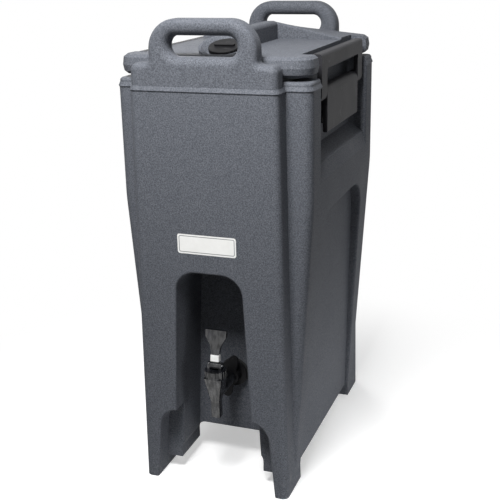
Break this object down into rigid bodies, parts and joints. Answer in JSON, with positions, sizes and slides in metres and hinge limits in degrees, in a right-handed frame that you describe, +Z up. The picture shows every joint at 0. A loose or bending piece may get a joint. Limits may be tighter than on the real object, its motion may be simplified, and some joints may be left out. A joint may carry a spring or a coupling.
{
  "type": "insulated beverage dispenser",
  "caption": "Tall insulated drinks dispenser with carrying handles front and rear, a vented lid held by side latches, and a lever tap in a recess above the front legs.",
  "frame": {"origin": "centre of the bounding box's bottom face, on the floor between the feet", "axes": "+Z up, -Y towards the tap at the front, +X to the right seen from the front"},
  "size_m": [0.2574, 0.3804, 0.619],
  "materials": {
    "body_plastic": "satin speckled granite grey",
    "latch_nylon": "matte charcoal",
    "tap_plastic": "gloss black",
    "collar_white": "gloss white",
    "label": "smooth white with a thin grey border",
    "seal": "matte black",
    "pin_steel": "brushed",
    "foam": "open foam, hidden"
  },
  "bodies": {
    "body": {"shell_front_handle": "body_plastic", "shell_rear_handle": "body_plastic", "shell_rim": "body_plastic", "shell_front_column": "body_plastic", "shell_rear_column": "body_plastic", "shell_side_upper_left": "body_plastic", "shell_side_upper_right": "body_plastic", "shell_recess_head": "body_plastic", "shell_front_leg_left": "body_plastic", "shell_front_leg_right": "body_plastic", "shell_tap_wall": "body_plastic", "shell_side_lower_left": "body_plastic", "shell_side_lower_right": "body_plastic", "shell_floor": "body_plastic", "shell_rear_arch": "body_plastic", "shell_skirt_left": "body_plastic", "shell_skirt_right": "body_plastic", "foam_fill": "foam", "tank_lower": "body_plastic", "tank_upper": "body_plastic", "label_plate": "label", "keeper_left": "latch_nylon", "keeper_right": "latch_nylon", "keeper_screws": "pin_steel", "tap_body": "tap_plastic", "tap_bonnet": "tap_plastic", "tap_lever_pin": "pin_steel", "outer_washer": "seal", "wing_nut": "tap_plastic", "inner_washer": "seal", "inner_nut": "tap_plastic", "tap_spring": "pin_steel"},
    "lid": {"lid_shell": "body_plastic", "lid_pan": "body_plastic", "lid_foam": "foam", "lid_gasket": "seal", "vent_sleeve": "body_plastic", "lid_hinge_pin_left": "pin_steel", "lid_hinge_pin_right": "pin_steel"},
    "vent": {"vent_cap": "tap_plastic", "vent_seal": "seal"},
    "frame_right": {"latch_frame_right": "latch_nylon", "latch_pin_right": "pin_steel"},
    "frame_left": {"latch_frame_left": "latch_nylon", "latch_pin_left": "pin_steel"},
    "lever_right": {"latch_lever_right": "latch_nylon"},
    "lever_left": {"latch_lever_left": "latch_nylon"},
    "tap_handle": {"tap_lever": "tap_plastic", "lever_collar": "collar_white"},
    "valve": {"valve_stem": "pin_steel", "seat_cup": "seal"}
  },
  "joints": [
    {"name": "lid_lift", "type": "slide", "parent": "body", "child": "lid", "axis": [0, 0, 1], "range_m": [0, 0.12]},
    {"name": "vent_turn", "type": "hinge", "parent": "lid", "child": "vent", "pos_m": [0, -0.109, 0.5825], "axis": [0, -0.3256, 0.9455], "range_deg": [0, 120]},
    {"name": "latch_frame_right_swing", "type": "hinge", "parent": "lid", "child": "frame_right", "pos_m": [0.1135, 0, 0.567], "axis": [0, -1, 0], "range_deg": [0, 100]},
    {"name": "latch_frame_left_swing", "type": "hinge", "parent": "lid", "child": "frame_left", "pos_m": [-0.1135, 0, 0.567], "axis": [0, 1, 0], "range_deg": [0, 100]},
    {"name": "latch_lever_right_swing", "type": "hinge", "parent": "frame_right", "child": "lever_right", "pos_m": [0.115, 0, 0.521], "axis": [0, -1, 0], "range_deg": [0, 90]},
    {"name": "latch_lever_left_swing", "type": "hinge", "parent": "frame_left", "child": "lever_left", "pos_m": [-0.115, 0, 0.521], "axis": [0, 1, 0], "range_deg": [0, 90]},
    {"name": "tap_lever_pull", "type": "hinge", "parent": "body", "child": "tap_handle", "pos_m": [0, -0.174, 0.1745], "axis": [1, 0, 0], "range_deg": [0, 45], "stiffness_Nm_per_rad": 0.1},
    {"name": "valve_lift", "type": "slide", "parent": "body", "child": "valve", "axis": [0, 0, 1], "range_m": [0, 0.0041], "deforming": ["tap_spring"]}
  ],
  "couplings": [
    {"joint": "valve_lift", "follows": "tap_lever_pull", "m_per_rad": 0.00509}
  ]
}
